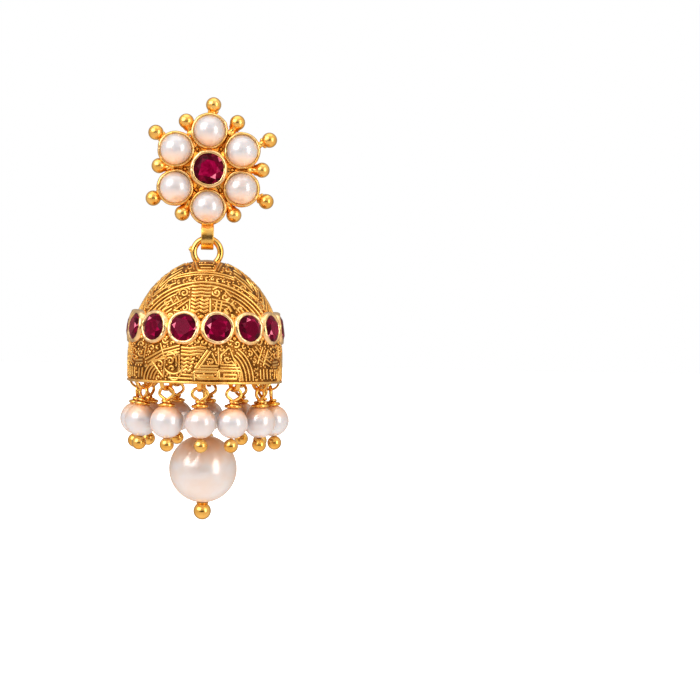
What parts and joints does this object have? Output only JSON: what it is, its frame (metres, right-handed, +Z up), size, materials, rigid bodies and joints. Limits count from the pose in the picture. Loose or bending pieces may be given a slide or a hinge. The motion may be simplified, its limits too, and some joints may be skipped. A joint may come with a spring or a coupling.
{
  "type": "jhumka earring",
  "caption": "Gold jhumka ear drop: pearl and ruby flower stud, hinged jump ring, bell dome with a ruby band, pearl fringe and a large centre pearl.",
  "frame": {"origin": "where the ear post leaves the rear face of the flower stud, at the stud's centre", "axes": "+Z up, +X to the right seen from the front, +Y back along the ear post, away from the viewer"},
  "size_m": [0.021, 0.0225, 0.0552],
  "materials": {
    "gold": "polished yellow gold with darker recesses",
    "pearl": "glossy cream nacre",
    "ruby": "polished faceted red stone"
  },
  "bodies": {
    "stud": {"star_frame": "gold", "star_pearl_1": "pearl", "star_pearl_2": "pearl", "star_pearl_3": "pearl", "star_pearl_4": "pearl", "star_pearl_5": "pearl", "star_pearl_6": "pearl", "star_ruby": "ruby", "ear_post": "gold"},
    "ring": {"jump_ring": "gold"},
    "bell": {"dome": "gold", "band_ruby_01": "ruby", "band_ruby_02": "ruby", "band_ruby_03": "ruby", "band_ruby_04": "ruby", "band_ruby_05": "ruby", "band_ruby_06": "ruby", "band_ruby_07": "ruby", "band_ruby_08": "ruby", "band_ruby_09": "ruby", "band_ruby_10": "ruby", "band_ruby_11": "ruby", "band_ruby_12": "ruby", "band_ruby_13": "ruby", "band_ruby_14": "ruby", "drop_pin_01": "gold", "drop_pin_02": "gold", "drop_pin_03": "gold", "drop_pin_04": "gold", "drop_pin_05": "gold", "drop_pin_06": "gold", "drop_pin_07": "gold", "drop_pin_08": "gold", "drop_pin_09": "gold", "drop_pin_10": "gold", "drop_pin_11": "gold", "drop_pin_12": "gold", "drop_pearl_01": "pearl", "drop_pearl_02": "pearl", "drop_pearl_03": "pearl", "drop_pearl_04": "pearl", "drop_pearl_05": "pearl", "drop_pearl_06": "pearl", "drop_pearl_07": "pearl", "drop_pearl_08": "pearl", "drop_pearl_09": "pearl", "drop_pearl_10": "pearl", "drop_pearl_11": "pearl", "drop_pearl_12": "pearl"},
    "centre": {"centre_pin": "gold", "centre_pearl": "pearl"}
  },
  "joints": [
    {"name": "ring_swing", "type": "hinge", "parent": "stud", "child": "ring", "pos_m": [0, -0.00149, -0.00907], "axis": [1, 0, 0], "range_deg": [-60, 60]},
    {"name": "dome_swing", "type": "hinge", "parent": "ring", "child": "bell", "pos_m": [0, -0.00149, -0.01081], "axis": [0, 1, 0], "range_deg": [-60, 60]},
    {"name": "pearl_swing", "type": "hinge", "parent": "bell", "child": "centre", "pos_m": [0, -0.00149, -0.01377], "axis": [0, 1, 0], "range_deg": [-8, 8]}
  ]
}
